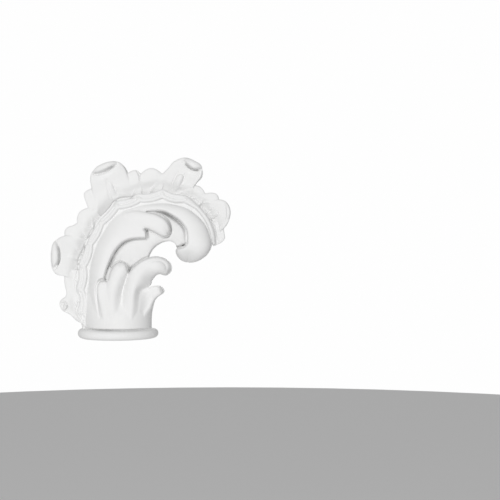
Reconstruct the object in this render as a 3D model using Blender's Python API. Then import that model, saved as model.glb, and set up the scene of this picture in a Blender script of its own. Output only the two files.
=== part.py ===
"""Moulding end ornament: one casting with a flat back, fixed to a wall where a half-round moulding ends.

A half-round collar carries a stem. From the stem rise an acanthus leaf, a broad C-shaped body that ends
in a round hook, a waved ribbon along the outer edge of the body, and a shell frill outside the ribbon.

Metres, +Z up, the wall is the plane Y = 0 and the carving stands out from it towards -Y.
The origin is on the flat back, on the moulding's centre line.

The carving is laid out on a grid as it is seen from a sight point in front of the wall. A point of it is
(column, row, depth) in grid units: columns run to the right, rows run down, depth is off the wall.
"""

import math

import bmesh
import bpy
import numpy as np

# Driving dimensions, in metres
HEIGHT = 0.1428  # underside of the collar to the top of the frill
RELIEF = 0.0304  # how far the leaf tips stand off the wall
COLLAR_HEIGHT = 0.0076
COLLAR_LIP = 0.0048  # how far the collar's bead stands out round the foot of the stem
ORIGIN_RISE = 0.0400  # the origin above the underside of the collar

# The grid that the carving is laid out on
GRID_ROWS = 178.5  # grid units in HEIGHT
DEPTH_ROWS = 38.0  # grid units in RELIEF
SIGHT_COLUMN, SIGHT_ROW, SIGHT_DISTANCE = 250.0, 250.0, 900.0
STEM_COLUMN = 118.4  # the moulding's centre line on the wall
BASE_ROW = 337.5  # the underside of the collar on the wall
UNIT = HEIGHT / GRID_ROWS
DEPTH_UNIT = RELIEF / DEPTH_ROWS

# The foot of the stem, in grid units
STEM_HALF = 34.0
STEM_DEPTH = 31.0

# How finely the solid is made, in metres and triangles
VOXEL = 0.0009
SOFTENING_STEPS = 3
TRIANGLES = 9000
CURVE_SAMPLES = 24  # how many places a curve is measured at for each of its points
COLLAR_STEPS = 13  # rings round the collar's bead
OVERRUN = 0.0032  # how far the forms run on behind the wall and below the collar, before the flat cuts
MOST_INSET = 0.6  # the most that an inset takes of the way from an edge to its ridge
THINNEST = 0.05  # the least radius of a roll, in grid units

IVORY = (0.86, 0.86, 0.85, 1.0)


def seen(points):
    """World points of (column, row, depth) grid points."""
    points = np.asarray(points, float)
    depth = points[..., 2]
    nearness = 1 - depth / SIGHT_DISTANCE
    across = SIGHT_COLUMN + (points[..., 0] - SIGHT_COLUMN) * nearness - STEM_COLUMN
    down = SIGHT_ROW + (points[..., 1] - SIGHT_ROW) * nearness - BASE_ROW
    return np.stack([across * UNIT, -depth * DEPTH_UNIT, -down * UNIT - ORIGIN_RISE], axis=-1)


def through(points, count):
    """Samples of the smooth curve through the points, the same number between each two."""
    points = np.asarray(points, float)
    padded = np.vstack([2 * points[0] - points[1], points, 2 * points[-1] - points[-2]])
    place = np.linspace(0, len(points) - 1, count)
    start = np.minimum(place.astype(int), len(points) - 2)
    t = (place - start)[:, None]
    a, b, c, d = (padded[start + i] for i in range(4))
    return 0.5 * (2 * b + (c - a) * t + (2 * a - 5 * b + 4 * c - d) * t**2 + (3 * b - a - 3 * c + d) * t**3)


def evenly(points, count):
    """Samples of the smooth curve through the points, evenly spaced along it."""
    fine = through(points, CURVE_SAMPLES * len(points))
    run = np.concatenate([[0], np.cumsum(np.linalg.norm(np.diff(fine[:, :2], axis=0), axis=1))])
    wanted = np.linspace(0, run[-1], count)
    return np.stack([np.interp(wanted, run, fine[:, i]) for i in range(fine.shape[1])], axis=1)


def loft(carving, loops):
    """Adds the closed body through the loops, each a ring of world points."""
    rings = [[carving.verts.new(point) for point in loop] for loop in loops]
    for ring, after in zip(rings, rings[1:]):
        for i in range(len(ring)):
            j = (i + 1) % len(ring)
            carving.faces.new((ring[i], ring[j], after[j], after[i]))
    for ring, turned in ((rings[0], True), (rings[-1], False)):
        middle = carving.verts.new(sum((v.co for v in ring), ring[0].co * 0) / len(ring))
        for i in range(len(ring)):
            pair = (ring[i], ring[(i + 1) % len(ring)])
            carving.faces.new((middle, *(pair[::-1] if turned else pair)))


def flank(edge, ridge, roundness, samples):
    """The surface from edge to ridge. The edge of roundness 0 is a soft groove, of 1 round, of 2 square."""
    q = np.linspace(0, 1, samples)[None, :, None]
    r = np.clip(roundness, 0, 1)[:, None, None]
    power = 1 / np.clip(roundness, 1, None)[:, None, None]
    turn = math.pi / 2 * q
    run = (1 - r) * q + r * (1 - np.maximum(np.cos(turn), 0) ** power)
    rise = (1 - r) * (1 - np.cos(2 * turn)) / 2 + r * np.sin(turn) ** power
    across = edge[:, None, :2] + (ridge[:, None, :2] - edge[:, None, :2]) * run
    depth = edge[:, None, 2:] + (ridge[:, None, 2:] - edge[:, None, 2:]) * rise
    return np.concatenate([across, depth], axis=2)


def foot_of(edge, ridge, inset):
    """Where the side below an edge meets the wall, drawn in towards the ridge."""
    world_edge, world_ridge = seen(edge), seen(ridge)
    inward = world_ridge - world_edge
    inward[:, 1] = 0
    length = np.maximum(np.linalg.norm(inward, axis=1, keepdims=True), 1e-9)
    step = np.minimum(inset * UNIT, MOST_INSET * length)
    foot = world_edge + inward / length * step
    foot[:, 1] = OVERRUN
    return foot


def lobe(carving, left, ridge, right, roundness=(1, 1), inset=(2, 2), stations=40, samples=9):
    """Adds a leaf lobe that stands on the wall: two edges and the ridge between them, in grid points."""
    left, ridge, right = (through(rail, stations) for rail in (left, ridge, right))
    round_left, round_right = (
        through(np.reshape(side, (-1, 1)), stations)[:, 0] if np.ndim(side) else np.full(stations, side)
        for side in roundness
    )
    rise = flank(left, ridge, round_left, samples)
    fall = flank(right, ridge, round_right, samples)[:, ::-1]
    front = seen(np.concatenate([rise, fall[:, 1:]], axis=1))
    feet = [foot_of(left, ridge, inset[0]), foot_of(right, ridge, inset[1])]
    loft(carving, np.concatenate([feet[0][:, None], front, feet[1][:, None]], axis=1))


def roll(carving, path, radii, flatness=1.0, stations=60, sides=12):
    """Adds a round roll along grid points, with a radius at each; flatness is its depth over its width."""
    centre = evenly(np.column_stack([path, radii]), stations)
    radius = np.maximum(centre[:, 3], THINNEST)
    tangent = np.gradient(centre[:, :2], axis=0)
    tangent /= np.linalg.norm(tangent, axis=1, keepdims=True)
    normal = np.stack([-tangent[:, 1], tangent[:, 0]], axis=1)
    turn = np.linspace(0, 2 * math.pi, sides, endpoint=False)
    across = normal[:, None, :] * (radius[:, None] * np.cos(turn))[:, :, None]
    depth = radius[:, None] * np.sin(turn) * flatness
    ring = np.concatenate([centre[:, None, :2] + across, centre[:, None, 2:3] + depth[:, :, None]], axis=2)
    loft(carving, seen(ring))


def spindle(count, radius, blunt=0.5):
    """Radii of a roll that is thickest in the middle and closes at both ends."""
    return radius * np.maximum(1 - np.abs(np.linspace(-1, 1, count)) ** 2, 0) ** blunt


def ellipse_ring(half_width, half_depth, height, count=72):
    turn = np.linspace(0, 2 * math.pi, count, endpoint=False)
    return np.stack([half_width * np.cos(turn), half_depth * np.sin(turn), np.full(count, height)], axis=1)


def collar(carving):
    """The half-round bead that the moulding butts against, turned about the moulding's centre line."""
    core_width, core_depth = STEM_HALF * UNIT, STEM_DEPTH * DEPTH_UNIT
    bulge = COLLAR_HEIGHT / 2
    foot = COLLAR_LIP - bulge
    rings = [ellipse_ring(core_width + foot, core_depth + foot, -ORIGIN_RISE - OVERRUN)]
    for turn in np.linspace(-math.pi / 2, math.pi / 2, COLLAR_STEPS):
        out = foot + bulge * math.cos(turn)
        height = bulge + bulge * math.sin(turn) - ORIGIN_RISE
        rings.append(ellipse_ring(core_width + out, core_depth + out, height))
    loft(carving, rings)


# The carving's lines, in grid points

RIBBON = [
    (86, 327, 5), (83, 314, 8), (82, 300, 10), (81.5, 287, 11), (82.5, 274, 12), (84.5, 262, 13),
    (87.5, 252, 13.5), (91, 242, 14.2), (95.5, 232.5, 15), (101.5, 223, 15.8), (108, 214.5, 16.5),
    (116, 207.5, 17), (126, 203.2, 17.5), (138, 200, 17.8), (150, 197, 18), (162, 195.5, 18),
    (173, 197.3, 18), (184, 199.8, 18), (194, 205, 18), (202.5, 213.5, 17.5), (208.5, 223, 16.8),
    (212.3, 234, 15.5), (214, 244.5, 11),
]
RIBBON_ARCS = 11
RIBBON_START = 0.62  # share of an arc that the first cusp is in from the ribbon's foot
RIBBON_SWING = 3.0  # how far a cusp stands out from the arcs
RIBBON_CUSP = 0.7  # how blunt a cusp is: 1 where two round arcs meet, less is sharper
RIBBON_CALMING, RIBBON_CALM = 0.75, 0.84  # shares of the ribbon's length where its waves fade out
RIBBON_TIP = 0.97  # share of the ribbon's length where it begins to thin out
RIBBON_SAMPLES = 241
STRANDS = ((1.6, 2.1, 0.0), (-3.4, 1.7, 1.0))  # each one's place across the ribbon, radius and rise
STRAND_FLATNESS = 1.3  # depth of a strand over its width
BED_EDGE, BED_TIP = 3.3, 1.4  # how far the bed reaches out below the strands, and at the ribbon's tip
BED_RISE = (-1.5, -0.3, 0.0)  # of the bed's edge, its ridge and its far edge
BED_RIDGE, BED_END = -1.5, -8.0  # places across the ribbon
KNOTS = 9
KNOT_RADIUS = 2.3
KNOT_MIDDLE = -0.9  # place across the ribbon
KNOT_RISE = (1.2, 1.8, 1.2)  # how far a knot's ends and middle stand above the ribbon's centre line


def outward_of(line):
    """Unit vectors off a line of grid points, on its left hand as it runs."""
    tangent = np.gradient(line[:, :2], axis=0)
    tangent /= np.linalg.norm(tangent, axis=1, keepdims=True)
    return np.stack([tangent[:, 1], -tangent[:, 0]], axis=1)


def beside(line, outward, deeper):
    """The line moved off to its outward side and raised off the wall."""
    moved = line.copy()
    moved[:, :2] += outward_of(line) * np.reshape(outward, (-1, 1))
    moved[:, 2] += deeper
    return moved


def ribbon_line():
    """The ribbon's centre line, waved in arcs between cusps that point outward, and how lively it is."""
    line = evenly(RIBBON, RIBBON_SAMPLES)
    along = np.linspace(0, 1, RIBBON_SAMPLES)
    phase = (along * RIBBON_ARCS - RIBBON_START) * math.pi
    lively = np.interp(along, (RIBBON_CALMING, RIBBON_CALM), (1, 0))
    return beside(line, RIBBON_SWING * (1 - np.abs(np.sin(phase)) ** RIBBON_CUSP) * lively, 0), lively


def ribbon(carving):
    """The waved ribbon: two strands with a groove between them, on the bed that they share."""
    line, lively = ribbon_line()
    thinning = np.interp(np.linspace(0, 1, len(line)), (RIBBON_TIP, 1), (1, 0.5))
    for offset, radius, rise in STRANDS:
        strand = beside(line, offset * lively, rise)
        roll(carving, strand, radius * thinning, flatness=STRAND_FLATNESS, stations=RIBBON_SAMPLES)
    lobe(
        carving,
        left=beside(line, BED_TIP + (BED_EDGE - BED_TIP) * lively, BED_RISE[0]),
        ridge=beside(line, BED_RIDGE, BED_RISE[1]),
        right=beside(evenly(RIBBON, RIBBON_SAMPLES), BED_END, BED_RISE[2]),
        roundness=(1, 0),
        inset=(0, 0),
        stations=RIBBON_SAMPLES,
        samples=5,
    )


def stem(carving):
    lobe(
        carving,
        left=[(83.7, 333, 0), (83.7, 318, 0), (83.7, 306, 1), (84, 294, 3), (88, 280, 6), (96, 268, 8)],
        ridge=[(117.7, 333, 31), (117.7, 318, 31), (117.7, 306, 28.5), (117, 294, 25), (116, 280, 20),
               (116, 268, 14)],
        right=[(151.7, 333, 0), (151.7, 318, 0), (151.2, 306, 1), (149, 294, 2), (142, 280, 4),
               (136, 268, 6)],
        inset=(0, 0),
        samples=16,
    )


def body(carving):
    """The broad C-shaped band, from the stem up and over to the notch before the inner lobe."""
    lobe(
        carving,
        left=[(91, 332, 6), (90, 318, 9), (89.3, 304, 11.5), (88.5, 290, 13), (89.3, 276, 14.2),
              (91.3, 263, 15.2), (96, 247, 16.2), (103, 233.5, 17), (112, 220.5, 18), (123, 212, 19),
              (134, 208, 19.5), (146, 206, 20)],
        ridge=[(104, 332, 26.5), (103, 318, 27), (101.5, 304, 27.5), (100.5, 290, 27), (100.3, 278, 26.5),
               (102.6, 267.5, 26.5), (106.3, 257, 26.5), (111.3, 246.8, 26.5), (118.8, 239, 26.5),
               (128, 235, 26.5), (136.5, 233.9, 26.5), (144.8, 233.8, 26.5)],
        right=[(112, 332, 28), (111, 318, 27), (109, 304, 25), (106, 290, 22.5), (104.3, 279, 21),
               (106.6, 269.5, 20), (110.4, 259.5, 19.5), (115.4, 250, 19.5), (122, 242.8, 19.5),
               (130, 239.2, 19.5), (138, 238.3, 19.5), (145.4, 238.4, 19)],
        roundness=(0.6, 1.5),
        inset=(0, 1),
        samples=14,
    )


def inner_lobe(carving):
    """The round tip inside the hook."""
    lobe(
        carving,
        left=[(124, 212, 14), (136, 210.5, 18), (147, 212.5, 20), (155, 214, 19.5), (161, 216, 18.5),
              (165.6, 219, 17.5), (169, 223.6, 16), (170.7, 229, 15), (170.6, 233.4, 14)],
        ridge=[(122, 224, 22), (133, 222.5, 25), (144, 222, 27), (152, 223, 27), (158.5, 224.8, 26.5),
               (163, 227.6, 25.5), (165.6, 230.4, 24), (166.8, 232.6, 22), (167.3, 234, 19)],
        right=[(124, 235, 14), (135, 234, 19), (146.5, 229.2, 20), (151.5, 231.2, 19), (156.5, 233.8, 18),
               (160.6, 236.4, 17), (164.6, 237.4, 16), (167.8, 236.8, 15), (169.8, 235.2, 14)],
        roundness=(1.3, 1.3),
        inset=(1, 2),
        samples=14,
    )


def hook(carving):
    """The main horn: it leaves the body at the top and swells into the round end of the C."""
    lobe(
        carving,
        left=[(122, 212, 14), (136, 207, 17.5), (150, 204.5, 19.5), (163, 203.5, 20.5), (174.5, 205, 21),
              (185, 208, 21.5), (194, 213.5, 21.5), (201.5, 220.6, 21), (207, 229, 20),
              (210.2, 238.5, 18), (211, 246.5, 14), (207.5, 254, 11), (201, 259.5, 9), (194.5, 262.2, 9),
              (189, 262.8, 8)],
        ridge=[(124, 213, 15), (138, 210, 19.5), (151, 208.8, 23), (161, 209.2, 25), (169.5, 211.4, 27),
               (177.5, 216, 28.5), (184, 222, 30), (188.3, 228.5, 30.5), (191, 235, 31), (192.3, 241, 31),
               (192, 246.5, 30.5), (190.3, 251, 28.5), (188.8, 255, 24), (188, 258.6, 18),
               (187.8, 261.3, 11)],
        right=[(126, 214, 14), (140, 211.8, 19), (152, 211, 20.5), (160.5, 212, 19), (168.5, 215.2, 18),
               (176, 219.8, 17), (182, 225.8, 16), (186, 232.5, 15), (187.2, 239.5, 14), (185, 245, 13),
               (178.5, 247.3, 11), (175.6, 250.5, 9), (177, 255.8, 7), (181, 260.2, 6), (186, 262.4, 6)],
        roundness=([0.6, 0.6, 0.7, 0.8, 0.9, 1, 1, 1, 1, 1.1, 1.3, 1.4, 1.4, 1.2, 1],
                   [1, 1.2, 1.4, 1.5, 1.5, 1.5, 1.5, 1.5, 1.5, 1.4, 1.4, 1.3, 1.3, 1.2, 1]),
        inset=(0, 1),
        stations=80,
        samples=14,
    )


def web(carving):
    """The hollowed sheet behind the body, the inner lobe and the hook."""
    lobe(
        carving,
        left=[(96, 300, 11), (98, 282, 12), (104, 264, 12), (112, 248, 12.5), (125, 236, 13.5),
              (140, 216, 17), (157, 209, 17), (173, 211, 12), (187, 216, 10), (193, 230, 10),
              (190, 243, 9)],
        ridge=[(112, 296, 13), (116, 280, 14), (121, 266, 14.5), (128, 252, 15), (138, 241, 15.5),
               (150, 232, 17), (162, 224, 16), (171, 224.5, 14.5), (176, 232, 13.5), (179, 238, 12.5),
               (181, 243, 11.5)],
        right=[(140, 292, 11), (142, 278, 11), (144.5, 266, 11.5), (148, 256.8, 12), (151.5, 250, 12),
               (156, 245.6, 12), (160.5, 243, 12), (165.5, 241.3, 11.5), (170.5, 241.3, 11),
               (174.5, 243.3, 10.5), (177, 248, 10)],
        roundness=(0, 1.5),
        inset=(0, 0),
        samples=12,
    )


def leaf(carving):
    """The acanthus leaf in front: lobes with shared grooves between them, which fade out down the stem."""
    first_groove = [(122, 333, 29.4), (122, 318, 29.2), (121.2, 304, 27.2), (122, 291, 25.2),
                    (125.3, 280, 25)]
    second_groove = [(139, 333, 21.5), (139.3, 318, 22.8), (139.3, 304, 24), (140, 291, 23),
                     (148.8, 286.8, 19.5)]
    lobe(
        carving,
        left=[(104, 333, 26), (102, 320, 26.5), (99.3, 306, 27), (97, 294, 27.5), (97.2, 286, 27.5),
              (100.8, 280.8, 27.5)],
        ridge=[(107, 333, 28), (105.5, 320, 29), (103.5, 306, 30.5), (101, 294, 31), (101, 287, 31),
               (102.3, 283, 30)],
        right=[(113, 333, 29.5), (112.5, 320, 30.3), (111, 306, 31.5), (109.5, 294, 31.5), (108, 286, 30),
               (105, 280.8, 28)],
        roundness=([0.6, 0.8, 1, 1.3, 1.3, 1.2], [0, 0, 0, 0, 1, 1]),
        inset=(0, 0),
    )
    lobe(
        carving,
        left=[(107, 333, 28), (106, 318, 29), (105, 304, 30), (105, 291, 31), (107.3, 281, 29),
              (109.8, 272, 26), (114, 264.8, 25), (119.5, 261.3, 25)],
        ridge=[(112, 333, 29.5), (112, 318, 30.8), (112, 304, 32), (112.8, 291, 33.5), (115, 282, 34),
               (118.5, 273, 34.5), (120.6, 267.5, 34), (121.3, 264, 31)],
        right=[*first_groove, (128, 272, 24.5), (126.8, 265, 25), (122.5, 261.4, 25)],
        roundness=([0, 0, 0, 0.3, 1, 1.2, 1.3, 1.2], [0, 0, 0.3, 0.7, 1, 1.3, 1.3, 1.2]),
        inset=(1, 1),
        samples=12,
    )
    lobe(
        carving,
        left=[*first_groove, (128.8, 272, 24), (135, 264.8, 22), (142, 260, 21), (149.5, 257, 19),
              (157, 256.2, 17), (164.5, 258.3, 15), (169.6, 262.8, 13), (171.3, 267.5, 12),
              (170.8, 271, 11)],
        ridge=[(130, 333, 27.8), (130.5, 318, 29), (131.5, 304, 30.8), (133, 291, 33), (135.5, 281.5, 34),
               (139, 274, 35), (144, 267.6, 36), (149.5, 264, 36.5), (155.5, 262.8, 36),
               (160.8, 263.9, 34.5), (165, 266.4, 32), (167.6, 268.9, 29), (168.9, 271, 24),
               (169.4, 272.5, 17)],
        right=[*second_groove, (150.8, 281.6, 18), (153.6, 277.8, 18), (156.4, 275.4, 18),
               (159.2, 274.2, 17.5), (161.6, 274.6, 16), (163.6, 275.3, 14), (165.8, 275.6, 12),
               (167.6, 275, 11), (169, 273.8, 11)],
        roundness=([0, 0, 0.4, 0.5, 0.8, 1.2, 1.6, 1.8, 1.8, 1.8, 1.8, 1.8, 1.6, 1.4],
                   [0, 0, 0.3, 0.5, 0.7, 1.0, 1.3, 1.5, 1.6, 1.6, 1.6, 1.6, 1.5, 1.4]),
        inset=(1, 1),
        stations=70,
        samples=14,
    )
    lobe(
        carving,
        left=[*second_groove[:4], (148.5, 287.4, 20.5), (153, 286, 18), (158.5, 285.8, 15),
              (162.5, 287.8, 11)],
        ridge=[(141.5, 333, 18), (142, 318, 20), (145.2, 306, 22.8), (148.2, 297, 24.4),
               (151.8, 292, 24.6), (155, 289.8, 23), (159, 289, 20), (162, 289.8, 14)],
        right=[(150.8, 333, 6), (151.2, 316, 7), (152.2, 308, 9), (153.6, 302, 10), (155.8, 298.4, 11),
               (158.8, 296, 11), (161.6, 294.3, 10), (163.6, 291.6, 8)],
        roundness=([0.4, 0.4, 0.4, 0.5, 1, 1.3, 1.3, 1.2], [0.5, 0.55, 1.2, 1.7, 1.6, 1.4, 1.3, 1.2]),
        inset=(1, 0),
        samples=12,
    )
    lobe(
        carving,
        left=[(101.5, 286, 19), (103.4, 278, 18), (105.6, 271.5, 17), (108.6, 266, 16)],
        ridge=[(106, 286, 23), (107.6, 279, 22.5), (109.6, 272.5, 21.5), (111.4, 268, 20)],
        right=[(110, 286, 22), (111, 280, 22), (112.4, 274, 21), (113.6, 269.5, 19)],
        inset=(1, 1),
        samples=5,
    )


# The frill: each petal is an outline between two places along the ribbon, given as shares of its length.
# The numbers after the outline are the depth of its edge, from its start to its end.
PETALS = [
    ((0.00, 0.12), [(81, 323), (76, 320.5), (72, 316.5), (68, 313.5), (63.5, 311.5), (60, 307), (59.6, 302),
                    (62, 298.8), (65.2, 296.5), (67, 291)], (8, 11, 12, 12, 10)),
    ((0.05, 0.22), [(72, 301), (67.5, 296), (65.8, 290), (64.4, 284), (64, 278), (64.6, 272.5), (70, 269)],
     (9, 10, 10, 10, 9)),
    ((0.15, 0.34), [(74, 278), (65, 276), (57.5, 275), (53, 271), (51, 265), (50.6, 257), (51.2, 249.5),
                    (54, 243), (58.5, 238), (65, 235.5), (73, 235)], (8, 13, 16, 16, 11)),
    ((0.28, 0.39), [(68, 243), (64.6, 236), (64.5, 230.5), (68, 226.8), (73, 225.2), (78.5, 221.5)],
     (10, 11, 12, 12, 10.5)),
    ((0.33, 0.44), [(79, 229), (76.8, 220.5), (77.8, 214.5), (80.5, 211), (84.5, 208.7), (90.5, 207)],
     (10, 11, 12, 12, 10.5)),
    ((0.37, 0.47), [(90, 213), (87, 205), (84.6, 198.5), (83.8, 193.5), (87, 190.2), (93.5, 187.5)],
     (10, 11, 12, 12, 10.5)),
    ((0.41, 0.58), [(93, 196), (91, 186), (90, 178.5), (91.2, 173), (95, 169), (101, 165.5), (108, 162.2),
                    (114, 161), (120, 162.5), (124.6, 167.5), (127.8, 175.5)], (10, 15, 18, 18, 12)),
    ((0.50, 0.61), [(121, 177), (127.5, 173), (132, 170.5), (136.5, 170), (139.8, 172.8), (141.4, 179.5)],
     (10, 11, 12.5, 14, 11)),
    ((0.56, 0.69), [(137, 179), (143, 171.5), (148, 168.5), (153, 168), (158, 170.3), (164, 175)],
     (10, 11.5, 12.5, 13, 11)),
    ((0.63, 0.80), [(158, 178), (163.5, 172.5), (168.5, 167.5), (173, 162), (178.5, 158.8), (185, 157.3),
                    (192, 159.3), (198, 163), (202.2, 169), (201.5, 176), (197.5, 180.3), (193.5, 185)],
     (10, 14, 18, 18, 14)),
    ((0.73, 0.84), [(188, 189), (194, 185.5), (199, 186), (202.5, 188.8), (205, 193), (205, 198)],
     (10, 11, 12, 12, 10.5)),
    ((0.77, 0.88), [(198, 197), (205, 193.6), (210.5, 192.6), (215.5, 193.3), (218.5, 196.5), (219, 202)],
     (10, 11, 12, 12, 10.5)),
    ((0.80, 0.97), [(209, 203), (217, 199.6), (223, 200), (227.5, 203), (230, 208), (230.6, 214),
                    (229, 220.5), (226, 226), (221, 230.5)], (10, 13, 16, 16, 12)),
    ((0.89, 0.995), [(219, 223), (223.3, 228), (224.4, 233), (225, 238), (222.5, 241.7), (218, 244.5),
                     (213, 246.5)], (10, 10.5, 10.5, 10, 9)),
]
BRIM = 12.0  # depth of the frill where it has levelled out, which the petals rise above near their ends
FALL_START = 3.0  # how far from the ribbon's centre line the frill begins to rise
FALL_RUN = 16.0  # how far on it has levelled out, or less on a short petal
FALL_SHARE = 0.6  # the most that the rise takes of a petal's length
FALL_CURVE = 0.033  # how fast the rise steepens towards the ribbon, in depth per grid unit squared
RISE_FROM = 0.4  # share of a petal's length where its end begins to lift
PETAL_ROUNDING = 1.6  # how far a petal's edge rounds over
PETAL_INSET = 0.8


def eased(share):
    share = np.clip(share, 0, 1)
    return share * share * (3 - 2 * share)


def petal(carving, span, outline, edge_depths):
    """Adds one petal of the frill: a scoop that rises from under the ribbon to its outline."""
    stations, samples = 44, 18
    rim = evenly([(*point, 0) for point in outline], stations)[:, :2]
    along = np.linspace(0, 1, stations)
    edge = np.interp(along, np.linspace(0, 1, len(edge_depths)), edge_depths)
    whole = evenly(RIBBON, RIBBON_SAMPLES)
    place = np.linspace(span[0], span[1], stations) * (RIBBON_SAMPLES - 1)
    root = np.stack([np.interp(place, np.arange(RIBBON_SAMPLES), whole[:, i]) for i in range(2)], axis=1)
    t = np.linspace(0, 1, samples)
    length = np.linalg.norm(rim - root, axis=1)[:, None]
    fall = np.minimum(FALL_RUN, FALL_SHARE * length)
    pillow = BRIM - FALL_CURVE * np.clip(fall + FALL_START - t * length, 0, fall) ** 2
    over = np.clip(1 - (1 - t) * length / PETAL_ROUNDING, 0, 1)
    lifted = (edge[:, None] - BRIM) * eased((t - RISE_FROM) / (1 - RISE_FROM))
    depth = pillow + lifted - PETAL_ROUNDING * (1 - np.sqrt(1 - over**2))
    across = root[:, None] + (rim - root)[:, None] * t[None, :, None]
    front = seen(np.concatenate([across, depth[:, :, None]], axis=2))
    rim_points = np.column_stack([rim, edge - PETAL_ROUNDING])
    root_points = np.column_stack([root, depth[:, 0]])
    feet = [foot_of(root_points, rim_points, 0), foot_of(rim_points, root_points, PETAL_INSET)]
    loft(carving, np.concatenate([feet[0][:, None], front, feet[1][:, None]], axis=1))


def frill(carving):
    for span, outline, edge_depths in PETALS:
        petal(carving, span, outline, edge_depths)


def lips(carving):
    """The rims that curl over at the ends of the large petals."""
    rims = (
        ([(57, 239.5, 13), (55, 246, 16), (54.9, 256, 17), (54.8, 264, 16), (55, 270.5, 13)], 3.9),
        ([(92.5, 174, 15), (97, 169.8, 18), (103.5, 166.7, 19), (110, 164.2, 19), (117.5, 163, 17)], 3.3),
        ([(183, 159, 16), (188.5, 162, 19), (194, 165, 20), (199, 167.4, 19), (201, 171.5, 15)], 4.2),
        ([(225.5, 202.5, 14), (228, 208.5, 16), (228.2, 215, 16), (226, 222.5, 14)], 2.0),
        ([(61.5, 301, 11), (65, 303.5, 13), (65.2, 308, 13), (62.5, 310.5, 11)], 1.8),
    )
    for path, radius in rims:
        line = evenly(path, 21)
        roll(carving, line, spindle(21, radius, 0.6), flatness=0.9, stations=31, sides=12)


def pods(carving):
    """The seed-like ribs that run up the large petals from the ribbon."""
    ribs = (
        ((116.5, 203, 5), (107.5, 179, 11.5), 4.6),
        ((173.8, 191.5, 6), (181.6, 174, 14), 4.6),
        ((83, 257, 5), (67, 256.4, 11), 4.4),
        ((206, 218, 4), (219, 211.5, 12), 4.0),
    )
    for start, end, radius in ribs:
        line = np.linspace(start, end, 17)
        roll(carving, line, spindle(17, radius), flatness=0.9, stations=25, sides=12)


def knots(carving):
    """The small beads that tie the two strands together where two arcs of the ribbon meet."""
    line, _ = ribbon_line()
    outward = outward_of(line)
    reach = KNOT_MIDDLE + KNOT_RADIUS * np.array([[-1], [0], [1]])
    for i in range(KNOTS):
        place = round((i + RIBBON_START) * (len(line) - 1) / RIBBON_ARCS)
        depth = line[place, 2] + np.array(KNOT_RISE)
        path = np.column_stack([line[place, :2] + outward[place] * reach, depth])
        roll(carving, evenly(path, 9), spindle(9, KNOT_RADIUS), stations=11, sides=10)


def carved_mesh():
    """All the forms of the casting as one mesh of closed bodies that run into each other."""
    carving = bmesh.new()
    for form in (collar, stem, body, inner_lobe, hook, web, leaf, frill, lips, pods, ribbon, knots):
        form(carving)
    bmesh.ops.recalc_face_normals(carving, faces=carving.faces)
    mesh = bpy.data.meshes.new("moulding_end_ornament")
    carving.to_mesh(mesh)
    carving.free()
    return mesh


def block(name, low, high):
    """A cutter in the shape of a box."""
    mesh = bpy.data.meshes.new(name)
    corners = bmesh.new()
    bmesh.ops.create_cube(corners, size=1.0)
    for vert in corners.verts:
        vert.co = [low[i] + (vert.co[i] + 0.5) * (high[i] - low[i]) for i in range(3)]
    corners.to_mesh(mesh)
    corners.free()
    cutter = bpy.data.objects.new(name, mesh)
    cutter.hide_render = True
    cutter.display_type = "WIRE"
    bpy.context.scene.collection.objects.link(cutter)
    return cutter


def painted():
    material = bpy.data.materials.new("primed_white")
    material.use_nodes = True
    shader = material.node_tree.nodes["Principled BSDF"]
    shader.inputs["Base Color"].default_value = IVORY
    shader.inputs["Roughness"].default_value = 0.6
    shader.inputs["Metallic"].default_value = 0.0
    return material


def triangle_count(obj):
    evaluated = obj.evaluated_get(bpy.context.evaluated_depsgraph_get())
    mesh = evaluated.to_mesh()
    mesh.calc_loop_triangles()
    count = len(mesh.loop_triangles)
    evaluated.to_mesh_clear()
    return count


def ornament():
    """The casting: its forms fused into one skin, softened, lightened, then cut flat behind and below."""
    casting = bpy.data.objects.new("moulding_end_ornament", carved_mesh())
    bpy.context.scene.collection.objects.link(casting)
    casting.data.materials.append(painted())
    fuse = casting.modifiers.new("fuse", "REMESH")
    fuse.mode = "VOXEL"
    fuse.voxel_size = VOXEL
    soften = casting.modifiers.new("soften", "SMOOTH")
    soften.factor = 0.5
    soften.iterations = SOFTENING_STEPS
    bpy.context.view_layer.update()
    lighten = casting.modifiers.new("lighten", "DECIMATE")
    lighten.ratio = min(1.0, TRIANGLES / triangle_count(casting))
    room = 2 * HEIGHT
    wall = block("wall", (-room, 0.0, -room), (room, room, room))
    below = block("below", (-room, -room, -room), (room, room, -ORIGIN_RISE))
    for cutter in (wall, below):
        cut = casting.modifiers.new("flat_at_" + cutter.name, "BOOLEAN")
        cut.operation = "DIFFERENCE"
        cut.object = cutter
    return casting


def main():
    for obj in list(bpy.data.objects):
        bpy.data.objects.remove(obj)
    ornament()


main()
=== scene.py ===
"""Looks of the moulding end ornament: its fine casting, matte white finish, soft light, floor and camera.

The casting is laid out on a grid as it is seen from a sight point in front of the wall. A point of it is
(column, row, depth) in grid units: columns run to the right, rows run down, depth is off the wall.
"""

import math

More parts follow.
